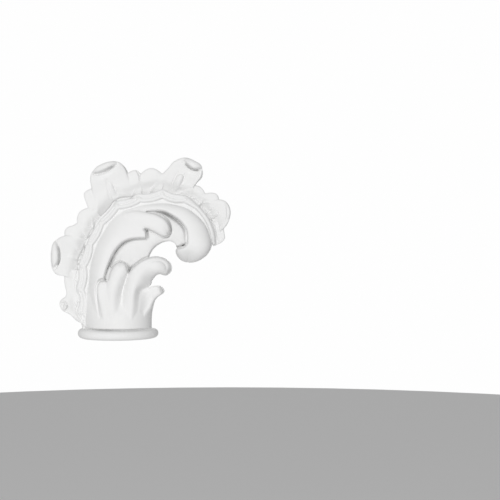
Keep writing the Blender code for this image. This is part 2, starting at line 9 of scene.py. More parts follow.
import bmesh
import bpy
import numpy as np
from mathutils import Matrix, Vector


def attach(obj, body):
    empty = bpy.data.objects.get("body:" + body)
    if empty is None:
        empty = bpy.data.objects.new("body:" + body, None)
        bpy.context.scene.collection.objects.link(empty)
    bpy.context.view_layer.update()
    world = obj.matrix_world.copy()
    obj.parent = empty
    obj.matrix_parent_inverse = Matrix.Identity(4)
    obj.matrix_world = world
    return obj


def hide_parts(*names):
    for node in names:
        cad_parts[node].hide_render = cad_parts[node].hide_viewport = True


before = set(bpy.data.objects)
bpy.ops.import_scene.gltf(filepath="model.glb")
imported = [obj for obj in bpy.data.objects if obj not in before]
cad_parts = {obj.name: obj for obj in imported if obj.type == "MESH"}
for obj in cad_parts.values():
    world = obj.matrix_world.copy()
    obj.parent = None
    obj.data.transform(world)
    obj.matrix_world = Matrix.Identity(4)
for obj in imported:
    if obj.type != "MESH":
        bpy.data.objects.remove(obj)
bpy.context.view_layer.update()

# Sizes of the casting, in metres
HEIGHT = 0.1428  # underside of the collar to the top of the frill
RELIEF = 0.0304  # depth that the grid spans, a little more than the leaf stands off the wall
COLLAR_HEIGHT = 0.0076
COLLAR_LIP = 0.0048  # how far the collar's bead stands out round the foot of the stem
ORIGIN_RISE = 0.0400  # the origin above the underside of the collar

# The grid that the carving is laid out on
GRID_ROWS = 178.5  # grid units in HEIGHT
DEPTH_ROWS = 38.0  # grid units in RELIEF
SIGHT_COLUMN = 250.0
SIGHT_ROW = 250.0
SIGHT_DISTANCE = 900.0  # the sight point off the wall
STEM_COLUMN = 118.4  # the moulding's centre line on the wall
BASE_ROW = 337.5  # the underside of the collar on the wall
UNIT = HEIGHT / GRID_ROWS
DEPTH_UNIT = RELIEF / DEPTH_ROWS
STEM_HALF = 34.0  # half the stem's width, in grid units
STEM_DEPTH = 31.0

# How finely the casting is made
VOXEL = 0.00044  # edge of the cells that the forms are fused in
SOFTENING = 0.5  # how far one step of softening evens out the skin
SOFTENING_STEPS = 3
TRIANGLES = 185000
SHARP_ANGLE = math.radians(60)  # an edge turned further than this is shaded as sharp
OVERRUN = 0.0032  # how far the forms run on behind the wall and below the collar, before the flat cuts
CURVE_SAMPLES = 24  # how many places a curve is measured at for each of its points
COLLAR_STEPS = 25  # rings round the collar's bead
PETAL_STATIONS = 44  # samples along a petal's outline
PETAL_SAMPLES = 18  # samples from a petal's root to its outline
MOST_INSET = 0.6  # the most that an inset takes of the way from an edge to its ridge
THINNEST = 0.05  # the least radius of a roll, in grid units
NO_LENGTH = 1e-9  # stands in for a length of nothing where one is divided by


def seen(points):
    """World points of (column, row, depth) grid points."""
    points = np.asarray(points, float)
    depth = points[..., 2]
    nearness = 1 - depth / SIGHT_DISTANCE
    across = SIGHT_COLUMN + (points[..., 0] - SIGHT_COLUMN) * nearness - STEM_COLUMN
    down = SIGHT_ROW + (points[..., 1] - SIGHT_ROW) * nearness - BASE_ROW
    return np.stack([across * UNIT, -depth * DEPTH_UNIT, -down * UNIT - ORIGIN_RISE], axis=-1)


def through(points, count):
    """Samples of the smooth curve through the points, the same number between each two."""
    points = np.asarray(points, float)
    padded = np.vstack([2 * points[0] - points[1], points, 2 * points[-1] - points[-2]])
    place = np.linspace(0, len(points) - 1, count)
    start = np.minimum(place.astype(int), len(points) - 2)
    t = (place - start)[:, None]
    a, b, c, d = (padded[start + i] for i in range(4))
    return 0.5 * (2 * b + (c - a) * t + (2 * a - 5 * b + 4 * c - d) * t**2 + (3 * b - a - 3 * c + d) * t**3)


def evenly(points, count):
    """Samples of the smooth curve through the points, evenly spaced along it."""
    fine = through(points, CURVE_SAMPLES * len(points))
    run = np.concatenate([[0], np.cumsum(np.linalg.norm(np.diff(fine[:, :2], axis=0), axis=1))])
    wanted = np.linspace(0, run[-1], count)
    return np.stack([np.interp(wanted, run, fine[:, i]) for i in range(fine.shape[1])], axis=1)


def loft(carving, loops):
    """Adds the closed body through the loops, each a ring of world points."""
    rings = [[carving.verts.new(point) for point in loop] for loop in loops]
    for ring, after in zip(rings, rings[1:]):
        for i in range(len(ring)):
            j = (i + 1) % len(ring)
            carving.faces.new((ring[i], ring[j], after[j], after[i]))
    for ring, turned in ((rings[0], True), (rings[-1], False)):
        middle = carving.verts.new(sum((v.co for v in ring), ring[0].co * 0) / len(ring))
        for i in range(len(ring)):
            pair = (ring[i], ring[(i + 1) % len(ring)])
            carving.faces.new((middle, *(pair[::-1] if turned else pair)))


def flank(edge, ridge, roundness, samples):
    """The surface from edge to ridge. The edge of roundness 0 is a soft groove, of 1 round, of 2 square."""
    q = np.linspace(0, 1, samples)[None, :, None]
    r = np.clip(roundness, 0, 1)[:, None, None]
    power = 1 / np.clip(roundness, 1, None)[:, None, None]
    turn = math.pi / 2 * q
    run = (1 - r) * q + r * (1 - np.maximum(np.cos(turn), 0) ** power)
    rise = (1 - r) * (1 - np.cos(2 * turn)) / 2 + r * np.sin(turn) ** power
    across = edge[:, None, :2] + (ridge[:, None, :2] - edge[:, None, :2]) * run
    depth = edge[:, None, 2:] + (ridge[:, None, 2:] - edge[:, None, 2:]) * rise
    return np.concatenate([across, depth], axis=2)


def foot_of(edge, ridge, inset):
    """Where the side below an edge meets the wall, drawn in towards the ridge."""
    world_edge, world_ridge = seen(edge), seen(ridge)
    inward = world_ridge - world_edge
    inward[:, 1] = 0
    length = np.maximum(np.linalg.norm(inward, axis=1, keepdims=True), NO_LENGTH)
    step = np.minimum(inset * UNIT, MOST_INSET * length)
    foot = world_edge + inward / length * step
    foot[:, 1] = OVERRUN
    return foot


def lobe(carving, left, ridge, right, roundness=(1, 1), inset=(2, 2), stations=40, samples=9):
    """Adds a leaf lobe that stands on the wall: two edges and the ridge between them, in grid points."""
    left, ridge, right = (through(rail, stations) for rail in (left, ridge, right))
    round_left, round_right = (
        through(np.reshape(side, (-1, 1)), stations)[:, 0] if np.ndim(side) else np.full(stations, side)
        for side in roundness
    )
    rise = flank(left, ridge, round_left, samples)
    fall = flank(right, ridge, round_right, samples)[:, ::-1]
    front = seen(np.concatenate([rise, fall[:, 1:]], axis=1))
    feet = [foot_of(left, ridge, inset[0]), foot_of(right, ridge, inset[1])]
    loft(carving, np.concatenate([feet[0][:, None], front, feet[1][:, None]], axis=1))


def roll(carving, path, radii, flatness=1.0, stations=60, sides=12):
    """Adds a round roll along grid points, with a radius at each; flatness is its depth over its width."""
    centre = evenly(np.column_stack([path, radii]), stations)
    radius = np.maximum(centre[:, 3], THINNEST)
    tangent = np.gradient(centre[:, :2], axis=0)
    tangent /= np.linalg.norm(tangent, axis=1, keepdims=True)
    normal = np.stack([-tangent[:, 1], tangent[:, 0]], axis=1)
    turn = np.linspace(0, 2 * math.pi, sides, endpoint=False)
    across = normal[:, None, :] * (radius[:, None] * np.cos(turn))[:, :, None]
    depth = radius[:, None] * np.sin(turn) * flatness
    ring = np.concatenate([centre[:, None, :2] + across, centre[:, None, 2:3] + depth[:, :, None]], axis=2)
    loft(carving, seen(ring))


def spindle(count, radius, taper=0.5):
    """Radii of a roll, thickest in the middle and closed at both ends, more gradually with more taper."""
    return radius * np.maximum(1 - np.abs(np.linspace(-1, 1, count)) ** 2, 0) ** taper


def ellipse_ring(half_width, half_depth, height, count=72):
    """World points round a level ellipse about the moulding's centre line."""
    turn = np.linspace(0, 2 * math.pi, count, endpoint=False)
    return np.stack([half_width * np.cos(turn), half_depth * np.sin(turn), np.full(count, height)], axis=1)


def collar(carving):
    """The half-round bead that the moulding butts against, turned about the moulding's centre line."""
    core_width, core_depth = STEM_HALF * UNIT, STEM_DEPTH * DEPTH_UNIT
    bulge = COLLAR_HEIGHT / 2
    foot = COLLAR_LIP - bulge
    rings = [ellipse_ring(core_width + foot, core_depth + foot, -ORIGIN_RISE - OVERRUN)]
    for turn in np.linspace(-math.pi / 2, math.pi / 2, COLLAR_STEPS):
        out = foot + bulge * math.cos(turn)
        height = bulge + bulge * math.sin(turn) - ORIGIN_RISE
        rings.append(ellipse_ring(core_width + out, core_depth + out, height))
    loft(carving, rings)


# The carving's lines, in grid points

RIBBON = [
    (86, 327, 5), (83, 314, 8), (82, 300, 10), (81.5, 287, 11), (82.5, 274, 12), (84.5, 262, 13),
    (87.5, 252, 13.5), (91, 242, 14.2), (95.5, 232.5, 15), (101.5, 223, 15.8), (108, 214.5, 16.5),
    (116, 207.5, 17), (126, 203.2, 17.5), (138, 200, 17.8), (150, 197, 18), (162, 195.5, 18),
    (173, 197.3, 18), (184, 199.8, 18), (194, 205, 18), (202.5, 213.5, 17.5), (208.5, 223, 16.8),
    (212.3, 234, 15.5), (214, 244.5, 11),
]
RIBBON_ARCS = 11
RIBBON_START = 0.62  # share of an arc that the first cusp is in from the ribbon's foot
RIBBON_SWING = 3.0  # how far a cusp stands out from the arcs
RIBBON_CUSP = 0.7  # how blunt a cusp is: 1 where two round arcs meet, less is sharper
RIBBON_CALMING = 0.75  # share of the ribbon's length where its waves begin to fade out
RIBBON_CALM = 0.84  # share of its length where they are gone
RIBBON_TIP = 0.97  # share of the ribbon's length where it begins to thin out
RIBBON_TIP_THINNESS = 0.5  # radius of a strand at the tip over its radius elsewhere
RIBBON_SAMPLES = 241
STRANDS = ((1.6, 2.2, 0.0), (-2.8, 2.2, 0.6))  # each one's place across the ribbon, radius and rise
STRAND_FLATNESS = 1.3  # depth of a strand over its width
BED_EDGE = 3.3  # how far the bed reaches out below the strands
BED_TIP = 1.4  # how far it reaches out at the ribbon's tip
BED_RISE = (-1.5, -0.3, 0.0)  # of the bed's edge, its ridge and its far edge
BED_RIDGE = -1.5  # places across the ribbon
BED_END = -8.0
KNOTS = 9
KNOT_POINTS = 9  # places along a knot where its radius is set
KNOT_RADIUS = 2.3
KNOT_MIDDLE = -0.9  # place across the ribbon
KNOT_RISE = (1.2, 1.8, 1.2)  # how far a knot's ends and middle stand above the ribbon's centre line


def outward_of(line):
    """Unit vectors off a line of grid points, on its left hand as it runs."""
    tangent = np.gradient(line[:, :2], axis=0)
    tangent /= np.linalg.norm(tangent, axis=1, keepdims=True)
    return np.stack([tangent[:, 1], -tangent[:, 0]], axis=1)


def beside(line, outward, deeper):
    """The line moved off to its outward side and raised off the wall."""
    moved = line.copy()
    moved[:, :2] += outward_of(line) * np.reshape(outward, (-1, 1))
    moved[:, 2] += deeper
    return moved


def ribbon_line():
    """The ribbon's centre line, waved in arcs between cusps that point outward, and how lively it is."""
    line = evenly(RIBBON, RIBBON_SAMPLES)
    along = np.linspace(0, 1, RIBBON_SAMPLES)
    phase = (along * RIBBON_ARCS - RIBBON_START) * math.pi
    lively = np.interp(along, (RIBBON_CALMING, RIBBON_CALM), (1, 0))
    return beside(line, RIBBON_SWING * (1 - np.abs(np.sin(phase)) ** RIBBON_CUSP) * lively, 0), lively


def ribbon(carving):
    """The waved ribbon: two strands with a groove between them, on the bed that they share."""
    line, lively = ribbon_line()
    thinning = np.interp(np.linspace(0, 1, len(line)), (RIBBON_TIP, 1), (1, RIBBON_TIP_THINNESS))
    for offset, radius, rise in STRANDS:
        strand = beside(line, offset * lively, rise)
        roll(carving, strand, radius * thinning, flatness=STRAND_FLATNESS, stations=RIBBON_SAMPLES)
    lobe(
        carving,
        left=beside(line, BED_TIP + (BED_EDGE - BED_TIP) * lively, BED_RISE[0]),
        ridge=beside(line, BED_RIDGE, BED_RISE[1]),
        right=beside(evenly(RIBBON, RIBBON_SAMPLES), BED_END, BED_RISE[2]),
        roundness=(1, 0),
        inset=(0, 0),
        stations=RIBBON_SAMPLES,
        samples=5,
    )


def stem(carving):
    """The half-round stem, from inside the collar up behind the leaf."""
    lobe(
        carving,
        left=[(83.7, 333, 0), (83.7, 318, 0), (83.7, 306, 1), (84, 294, 3), (88, 280, 6), (96, 268, 8)],
        ridge=[(117.7, 333, 31), (117.7, 318, 31), (117.7, 306, 28.5), (117, 294, 25), (116, 280, 20),
               (116, 268, 14)],
        right=[(151.7, 333, 0), (151.7, 318, 0), (151.2, 306, 1), (149, 294, 2), (142, 280, 4),
               (136, 268, 6)],
        inset=(0, 0),
        samples=16,
    )


def body(carving):
    """The broad C-shaped band, from the stem up and over to the notch before the inner lobe."""
    lobe(
        carving,
        left=[(91, 332, 6), (90, 318, 9), (89.3, 304, 11.5), (88.5, 290, 13), (89.3, 276, 14.2),
              (91.3, 263, 15.2), (96, 247, 16.2), (103, 233.5, 17), (112, 220.5, 18), (123, 212, 19),
              (134, 208, 19.5), (146, 206, 20)],
        ridge=[(104, 332, 26.5), (103, 318, 27), (101.5, 304, 27.5), (100.5, 290, 27), (100.3, 278, 26.5),
               (102.6, 267.5, 26.5), (106.3, 257, 26.5), (111.3, 246.8, 26.5), (118.8, 239, 26.5),
               (128, 235, 26.5), (136.5, 233.9, 26.5), (144.8, 233.8, 26.5)],
        right=[(112, 332, 28), (111, 318, 27), (109, 304, 25), (106, 290, 22.5), (104.3, 279, 21),
               (106.6, 269.5, 20), (110.4, 259.5, 19.5), (115.4, 250, 19.5), (122, 242.8, 19.5),
               (130, 239.2, 19.5), (138, 238.3, 19.5), (145.4, 238.4, 19)],
        roundness=(0.6, 2.4),
        inset=(0, 0),
        samples=20,
    )


def inner_lobe(carving):
    """The round tip inside the hook."""
    lobe(
        carving,
        left=[(124, 212, 14), (136, 210.5, 18), (147, 212.5, 20), (155, 214, 19.5), (161, 216, 18.5),
              (165.6, 219, 17.5), (169, 223.6, 16), (170.7, 229, 15), (170.6, 233.4, 14)],
        ridge=[(122, 224, 22), (133, 222.5, 25), (144, 222, 27), (152, 223, 27), (158.5, 224.8, 26.5),
               (163, 227.6, 25.5), (165.6, 230.4, 24), (166.8, 232.6, 22), (167.3, 234, 19)],
        right=[(124, 235, 14), (135, 234, 19), (146.5, 229.2, 20), (151.5, 231.2, 19), (156.5, 233.8, 18),
               (160.6, 236.4, 17), (164.6, 237.4, 16), (167.8, 236.8, 15), (169.8, 235.2, 14)],
        roundness=(2.2, 1.6),
        inset=(0, 1),
        samples=20,
    )


def hook(carving):
    """The main horn: it leaves the body at the top and swells into the round end of the C."""
    lobe(
        carving,
        left=[(122, 212, 14), (136, 207, 17.5), (150, 204.5, 19.5), (163, 203.5, 20.5), (174.5, 205, 21),
              (185, 208, 21.5), (194, 213.5, 21.5), (201.5, 220.6, 21), (207, 229, 20),
              (210.2, 238.5, 18), (211, 246.5, 14), (207.5, 254, 11), (201, 259.5, 9), (194.5, 262.2, 9),
              (189, 262.8, 8)],
        ridge=[(124, 213, 15), (138, 210, 19.5), (151, 208.8, 23), (161, 209.2, 25), (169.5, 211.4, 27),
               (177.5, 216, 28.5), (184, 222, 30), (188.3, 228.5, 30.5), (191, 235, 31), (192.3, 241, 31),
               (192, 246.5, 30.5), (190.3, 251, 28.5), (188.8, 255, 24), (188, 258.6, 18),
               (187.8, 261.3, 11)],
        right=[(126, 214, 14), (140, 211.8, 19), (152, 211, 20.5), (160.5, 211.6, 19), (169.2, 214.4, 18),
               (177.4, 218.9, 17), (183.4, 225.2, 15.5), (186.8, 232.2, 14.5), (187.2, 239.5, 14),
               (185, 245, 13), (178.5, 247.3, 11), (175.6, 250.5, 9), (177, 255.8, 7), (181, 260.2, 6),
               (186, 262.4, 6)],
        roundness=([0.6, 0.6, 0.7, 0.8, 0.9, 1, 1, 1, 1, 1.1, 1.3, 1.4, 1.4, 1.2, 1],
                   [1, 1.4, 2, 2.6, 3, 3, 3, 3, 3, 2.6, 2.2, 1.8, 1.6, 1.3, 1]),
        inset=(0, 0),
        stations=120,
        samples=24,
    )


def web(carving):
    """The hollowed sheet behind the body, the inner lobe and the hook."""
    lobe(
        carving,
        left=[(96, 300, 11), (98, 282, 12), (104, 264, 12), (112, 248, 12.5), (125, 236, 13.5),
              (140, 216, 17), (157, 209, 17), (173, 211, 12), (187, 216, 10), (193, 230, 10),
              (190, 243, 9)],
        ridge=[(112, 296, 13), (116, 280, 14), (121, 266, 14.5), (128, 252, 15), (138, 241, 15.5),
               (150, 232, 17), (162, 224, 16), (171, 224.5, 14.5), (176, 232, 13.5), (179, 238, 12.5),
               (181, 243, 11.5)],
        right=[(140, 292, 11), (142, 278, 11), (144.5, 266, 11.5), (148, 256.8, 12), (151.5, 250, 12),
               (156, 245.6, 12), (160.5, 243, 12), (165.5, 241.3, 11.5), (170.5, 241.3, 11),
               (174.5, 243.3, 10.5), (177, 248, 10)],
        roundness=(0, 1.5),
        inset=(0, 0),
        samples=12,
    )


def leaf(carving):
    """The acanthus leaf in front: lobes with shared grooves between them, which fade out down the stem."""
    first_groove = [(122, 333, 29.4), (122, 318, 29.2), (121.2, 304, 27.2), (122, 291, 25.2),
                    (125.3, 280, 25)]
    second_groove = [(139, 333, 21.5), (139.3, 318, 22.8), (139.3, 304, 24.3), (140, 291, 24),
                     (148.8, 286.8, 19.5)]
    lobe(
        carving,
        left=[(104, 333, 26), (102, 320, 26.5), (99.3, 306, 27), (97, 294, 27.5), (97.2, 286, 27.5),
              (100.8, 280.8, 27.5)],
        ridge=[(107, 333, 28), (105.5, 320, 29), (103.5, 306, 30.5), (101, 294, 31), (101, 287, 31),
               (102.3, 283, 30)],
        right=[(113, 333, 29.5), (112.5, 320, 30.3), (111, 306, 31.5), (109.5, 294, 31.5), (108, 286, 30),
               (105, 280.8, 28)],
        roundness=([0.6, 0.8, 1, 1.3, 1.3, 1.2], [0, 0, 0, 0, 1, 1]),
        inset=(0, 0),
    )
    lobe(
        carving,
        left=[(107, 333, 28), (106, 318, 29), (105, 304, 30), (105, 291, 31), (107.3, 281, 29),
              (109.8, 272, 26), (114, 264.8, 25), (119.5, 261.3, 25)],
        ridge=[(112, 333, 29.5), (112, 318, 30.8), (112, 304, 32), (112.8, 291, 33.5), (115, 282, 34),
               (118.5, 273, 34.5), (120.6, 267.5, 34), (121.3, 264, 31)],
        right=[*first_groove, (128, 272, 24.5), (126.8, 265, 25), (122.5, 261.4, 25)],
        roundness=([0, 0, 0, 0.3, 1, 1.2, 1.3, 1.2], [0, 0, 0.3, 0.7, 1, 1.3, 1.3, 1.2]),
        inset=(1, 1),
        samples=12,
    )
    lobe(
        carving,
        left=[*first_groove, (128.8, 272, 24), (135, 264.8, 22), (142, 260, 21), (149.5, 257, 19),
              (157, 256.2, 17), (164.5, 258.3, 15), (169.6, 262.8, 13), (171.3, 267.5, 12),
              (170.8, 271, 11)],
        ridge=[(130, 333, 27.8), (130.5, 318, 29), (131.5, 304, 30.8), (133, 291, 33), (135.5, 281.5, 34),
               (139, 274, 35), (144, 267.6, 36), (149.5, 264, 36.5), (155.5, 262.8, 36),
               (160.8, 263.9, 34.5), (165, 266.4, 32), (167.6, 268.9, 29), (168.9, 271, 24),
               (169.4, 272.5, 17)],
        right=[*second_groove, (150.8, 281.6, 21), (153.6, 277.8, 21.5), (156.4, 275.4, 21),
               (159.2, 274.2, 19), (161.6, 274.6, 16.5), (163.6, 275.3, 14), (165.8, 275.6, 12),
               (167.6, 275, 11), (169, 273.8, 11)],
        roundness=([0, 0, 0.4, 0.5, 0.8, 1.4, 2.2, 2.6, 2.6, 2.6, 2.6, 2.6, 2.2, 1.6],
                   [0, 0, 0.3, 0.4, 0.4, 0.5, 0.8, 1.3, 1.6, 1.6, 1.6, 1.6, 1.5, 1.4]),
        inset=(1, 1),
        stations=70,
        samples=14,
    )
    lobe(
        carving,
        left=[*second_groove[:4], (148.5, 287.4, 19.4), (153, 286, 18.4), (158.5, 285.8, 17),
              (162.5, 287.8, 11)],
        ridge=[(141.5, 333, 18), (142, 318, 20), (148.5, 306, 18.5), (150.5, 298.5, 18.2),
               (152.5, 293.5, 20), (156, 291, 20.6), (159.4, 290.6, 20), (161.8, 290.8, 16.5)],
        right=[(150.8, 333, 6), (151.2, 316, 7), (152.2, 308, 10), (153.6, 302, 12.5), (155.8, 298.4, 15),
               (158.8, 296, 16), (161.6, 294.3, 15), (163.6, 291.6, 12)],
        roundness=([0.4, 0.4, 0.4, 0.5, 1, 1.3, 1.3, 1.2], [0.5, 0.55, 1.2, 1.7, 1.6, 1.4, 1.3, 1.2]),
        inset=(1, 0),
        samples=12,
    )
    lobe(
        carving,
        left=[(101.5, 286, 19), (103.4, 278, 18), (105.6, 271.5, 17), (108.6, 266, 16)],
        ridge=[(106, 286, 23), (107.6, 279, 22.5), (109.6, 272.5, 21.5), (111.4, 268, 20)],
        right=[(110, 286, 22), (111, 280, 22), (112.4, 274, 21), (113.6, 269.5, 19)],
        inset=(1, 1),
        samples=5,
    )


# The frill: each petal is an outline between two places along the ribbon, given as shares of its length.
# The numbers after the outline are the depth of its edge, from its start to its end.
PETALS = [
    ((0.00, 0.12), [(81, 323), (76, 320.5), (72, 316.5), (68, 313.5), (63.5, 311.5), (60, 307), (59.6, 302),
                    (62, 298.8), (65.2, 296.5), (67, 291)], (8, 11, 12, 12, 10)),
    ((0.05, 0.22), [(72, 301), (67.5, 296), (65.8, 290), (64.4, 284), (64, 278), (64.6, 272.5), (70, 269)],
     (9, 10, 10, 10, 9)),
    ((0.15, 0.34), [(74, 278), (65, 276), (57.5, 275), (53, 271), (51, 265), (50.6, 257), (51.2, 249.5),
                    (54, 243), (58.5, 238), (65, 235.5), (73, 235)], (8, 13, 16, 16, 11)),
    ((0.28, 0.39), [(68, 243), (64.6, 236), (64.5, 230.5), (68, 226.8), (73, 225.2), (78.5, 221.5)],
     (10, 11, 12, 12, 10.5)),
    ((0.33, 0.44), [(79, 229), (76.8, 220.5), (77.8, 214.5), (80.5, 211), (84.5, 208.7), (90.5, 207)],
     (10, 11, 12, 12, 10.5)),
    ((0.37, 0.47), [(90, 213), (87, 205), (84.6, 198.5), (83.8, 193.5), (87, 190.2), (93.5, 187.5)],
     (10, 11, 12, 12, 10.5)),
    ((0.41, 0.58), [(93, 196), (91, 186), (90, 178.5), (91.2, 173), (95, 169), (101, 165.5), (108, 162.2),
                    (114, 161), (120, 162.5), (124.6, 167.5), (127.8, 175.5)], (10, 15, 18, 18, 12)),
    ((0.50, 0.61), [(121, 177), (127.5, 173), (132, 170.5), (136.5, 170), (139.8, 172.8), (141.4, 179.5)],
     (10, 11, 12.5, 14, 11)),
    ((0.56, 0.69), [(137, 179), (143, 171.5), (148, 168.5), (153, 168), (158, 170.3), (164, 175)],
     (10, 11.5, 12.5, 13, 11)),
    ((0.63, 0.80), [(158, 178), (163.5, 172.5), (168.5, 167.5), (173, 162), (178.5, 158.8), (185, 157.3),
                    (192, 159.3), (198, 163), (202.2, 169), (201.5, 176), (197.5, 180.3), (193.5, 185)],
     (10, 14, 18, 18, 14)),
    ((0.73, 0.84), [(188, 189), (194, 185.5), (199, 186), (202.5, 188.8), (205, 193), (205, 198)],
     (10, 11, 12, 12, 10.5)),
    ((0.77, 0.88), [(198, 197), (205, 193.6), (210.5, 192.6), (215.5, 193.3), (218.5, 196.5), (219, 202)],
     (10, 11, 12, 12, 10.5)),
    ((0.80, 0.97), [(209, 203), (217, 199.6), (223, 200), (227.5, 203), (230, 208), (230.6, 214),
                    (229, 220.5), (226, 226), (221, 230.5)], (10, 13, 16, 16, 12)),
    ((0.89, 0.995), [(219, 223), (223.3, 228), (224.4, 233), (225, 238), (222.5, 241.7), (218, 244.5),
                     (213, 246.5)], (10, 10.5, 10.5, 10, 9)),
]
BRIM = 12.0  # depth of the frill where it has levelled out, which the petals rise above near their ends
FALL_START = 3.0  # how far from the ribbon's centre line the frill begins to rise
FALL_RUN = 16.0  # how far on it has levelled out, or less on a short petal
FALL_SHARE = 0.6  # the most that the rise takes of a petal's length
FALL_CURVE = 0.033  # how fast the rise steepens towards the ribbon, in depth per grid unit squared
RISE_FROM = 0.4  # share of a petal's length where its end begins to lift
PETAL_ROUNDING = 1.0  # how far a petal's edge rounds over
PETAL_INSET = 0.8  # how far a petal's side is drawn in at the wall


def eased(share):
    """A share between 0 and 1 that starts and ends gently."""
    share = np.clip(share, 0, 1)
    return share * share * (3 - 2 * share)


def petal(carving, span, outline, edge_depths):
    """Adds one petal of the frill: a scoop that rises from under the ribbon to its outline."""
    rim = evenly([(*point, 0) for point in outline], PETAL_STATIONS)[:, :2]
    along = np.linspace(0, 1, PETAL_STATIONS)
    edge = np.interp(along, np.linspace(0, 1, len(edge_depths)), edge_depths)
    whole = evenly(RIBBON, RIBBON_SAMPLES)
    place = np.linspace(span[0], span[1], PETAL_STATIONS) * (RIBBON_SAMPLES - 1)
    root = np.stack([np.interp(place, np.arange(RIBBON_SAMPLES), whole[:, i]) for i in range(2)], axis=1)
    t = np.linspace(0, 1, PETAL_SAMPLES)
    length = np.linalg.norm(rim - root, axis=1)[:, None]
    fall = np.minimum(FALL_RUN, FALL_SHARE * length)
    pillow = BRIM - FALL_CURVE * np.clip(fall + FALL_START - t * length, 0, fall) ** 2
    over = np.clip(1 - (1 - t) * length / PETAL_ROUNDING, 0, 1)
    lifted = (edge[:, None] - BRIM) * eased((t - RISE_FROM) / (1 - RISE_FROM))
    depth = pillow + lifted - PETAL_ROUNDING * (1 - np.sqrt(1 - over**2))
    across = root[:, None] + (rim - root)[:, None] * t[None, :, None]
    front = seen(np.concatenate([across, depth[:, :, None]], axis=2))
    rim_points = np.column_stack([rim, edge - PETAL_ROUNDING])
    root_points = np.column_stack([root, depth[:, 0]])
    feet = [foot_of(root_points, rim_points, 0), foot_of(rim_points, root_points, PETAL_INSET)]
    loft(carving, np.concatenate([feet[0][:, None], front, feet[1][:, None]], axis=1))


def frill(carving):
    """All the petals, from the foot of the ribbon to its tip."""
    for span, outline, edge_depths in PETALS:
        petal(carving, span, outline, edge_depths)


LIPS = (  # the line of each curled rim and its radius
    ([(57, 239.5, 13), (55, 246, 16), (54.9, 256, 17), (54.8, 264, 16), (55, 270.5, 13)], 3.9),
    ([(92.5, 174, 15), (97, 169.8, 18), (103.5, 166.7, 19), (110, 164.2, 19), (117.5, 163, 17)], 3.3),
    ([(183, 159, 16), (188.5, 162, 19), (194, 165, 20), (199, 167.4, 19), (201, 171.5, 15)], 4.2),
    ([(225.5, 202.5, 14), (228, 208.5, 16), (228.2, 215, 16), (226, 222.5, 14)], 2.0),
    ([(61.5, 301, 11), (65, 303.5, 13), (65.2, 308, 13), (62.5, 310.5, 11)], 1.8),
)
LIP_POINTS = 21  # places along a rim where its radius is set
LIP_TAPER = 0.6  # how gradually a rim closes at its ends
PODS = (  # each seed-like rib's lower end, upper end and radius
    ((116.5, 203, 5), (107.5, 179, 11.5), 4.6),
    ((173.8, 191.5, 6), (181.6, 174, 14), 4.6),
    ((83, 257, 5), (67, 256.4, 11), 4.4),
    ((206, 218, 4), (219, 211.5, 12), 4.0),
)
POD_POINTS = 17
ROLL_FLATNESS = 0.9  # depth of a rim or a rib over its width


def lips(carving):
    """The rims that curl over at the ends of the large petals."""
    for path, radius in LIPS:
        radii = spindle(LIP_POINTS, radius, LIP_TAPER)
        roll(carving, evenly(path, LIP_POINTS), radii, flatness=ROLL_FLATNESS, stations=31)


def pods(carving):
    """The seed-like ribs that run up the large petals from the ribbon."""
    for start, end, radius in PODS:
        line = np.linspace(start, end, POD_POINTS)
        roll(carving, line, spindle(POD_POINTS, radius), flatness=ROLL_FLATNESS, stations=25)


def knots(carving):
    """The small beads that tie the two strands together where two arcs of the ribbon meet."""
    line, _ = ribbon_line()
    outward = outward_of(line)
    reach = KNOT_MIDDLE + KNOT_RADIUS * np.array([[-1], [0], [1]])
    for i in range(KNOTS):
        place = round((i + RIBBON_START) * (len(line) - 1) / RIBBON_ARCS)
        depth = line[place, 2] + np.array(KNOT_RISE)
        path = np.column_stack([line[place, :2] + outward[place] * reach, depth])
        radii = spindle(KNOT_POINTS, KNOT_RADIUS)
        roll(carving, evenly(path, KNOT_POINTS), radii, stations=11, sides=10)


def carved_mesh():
    """All the forms of the casting as one mesh of closed bodies that run into each other."""
    carving = bmesh.new()
    for form in (collar, stem, body, inner_lobe, hook, web, leaf, frill, lips, pods, ribbon, knots):
        form(carving)
    bmesh.ops.recalc_face_normals(carving, faces=carving.faces)
    mesh = bpy.data.meshes.new("casting")
    carving.to_mesh(mesh)
    carving.free()
    return mesh


def block(name, low, high):
    """A cutter in the shape of a box."""
    mesh = bpy.data.meshes.new(name)
    corners = bmesh.new()
    bmesh.ops.create_cube(corners, size=1.0)
    for vert in corners.verts:
        vert.co = [low[i] + (vert.co[i] + 0.5) * (high[i] - low[i]) for i in range(3)]
    corners.to_mesh(mesh)
    corners.free()
    cutter = bpy.data.objects.new(name, mesh)
    bpy.context.scene.collection.objects.link(cutter)
    return cutter


def settled(obj):
    """The object's mesh as its modifiers leave it."""
    evaluated = obj.evaluated_get(bpy.context.evaluated_depsgraph_get())
    return bpy.data.meshes.new_from_object(evaluated)


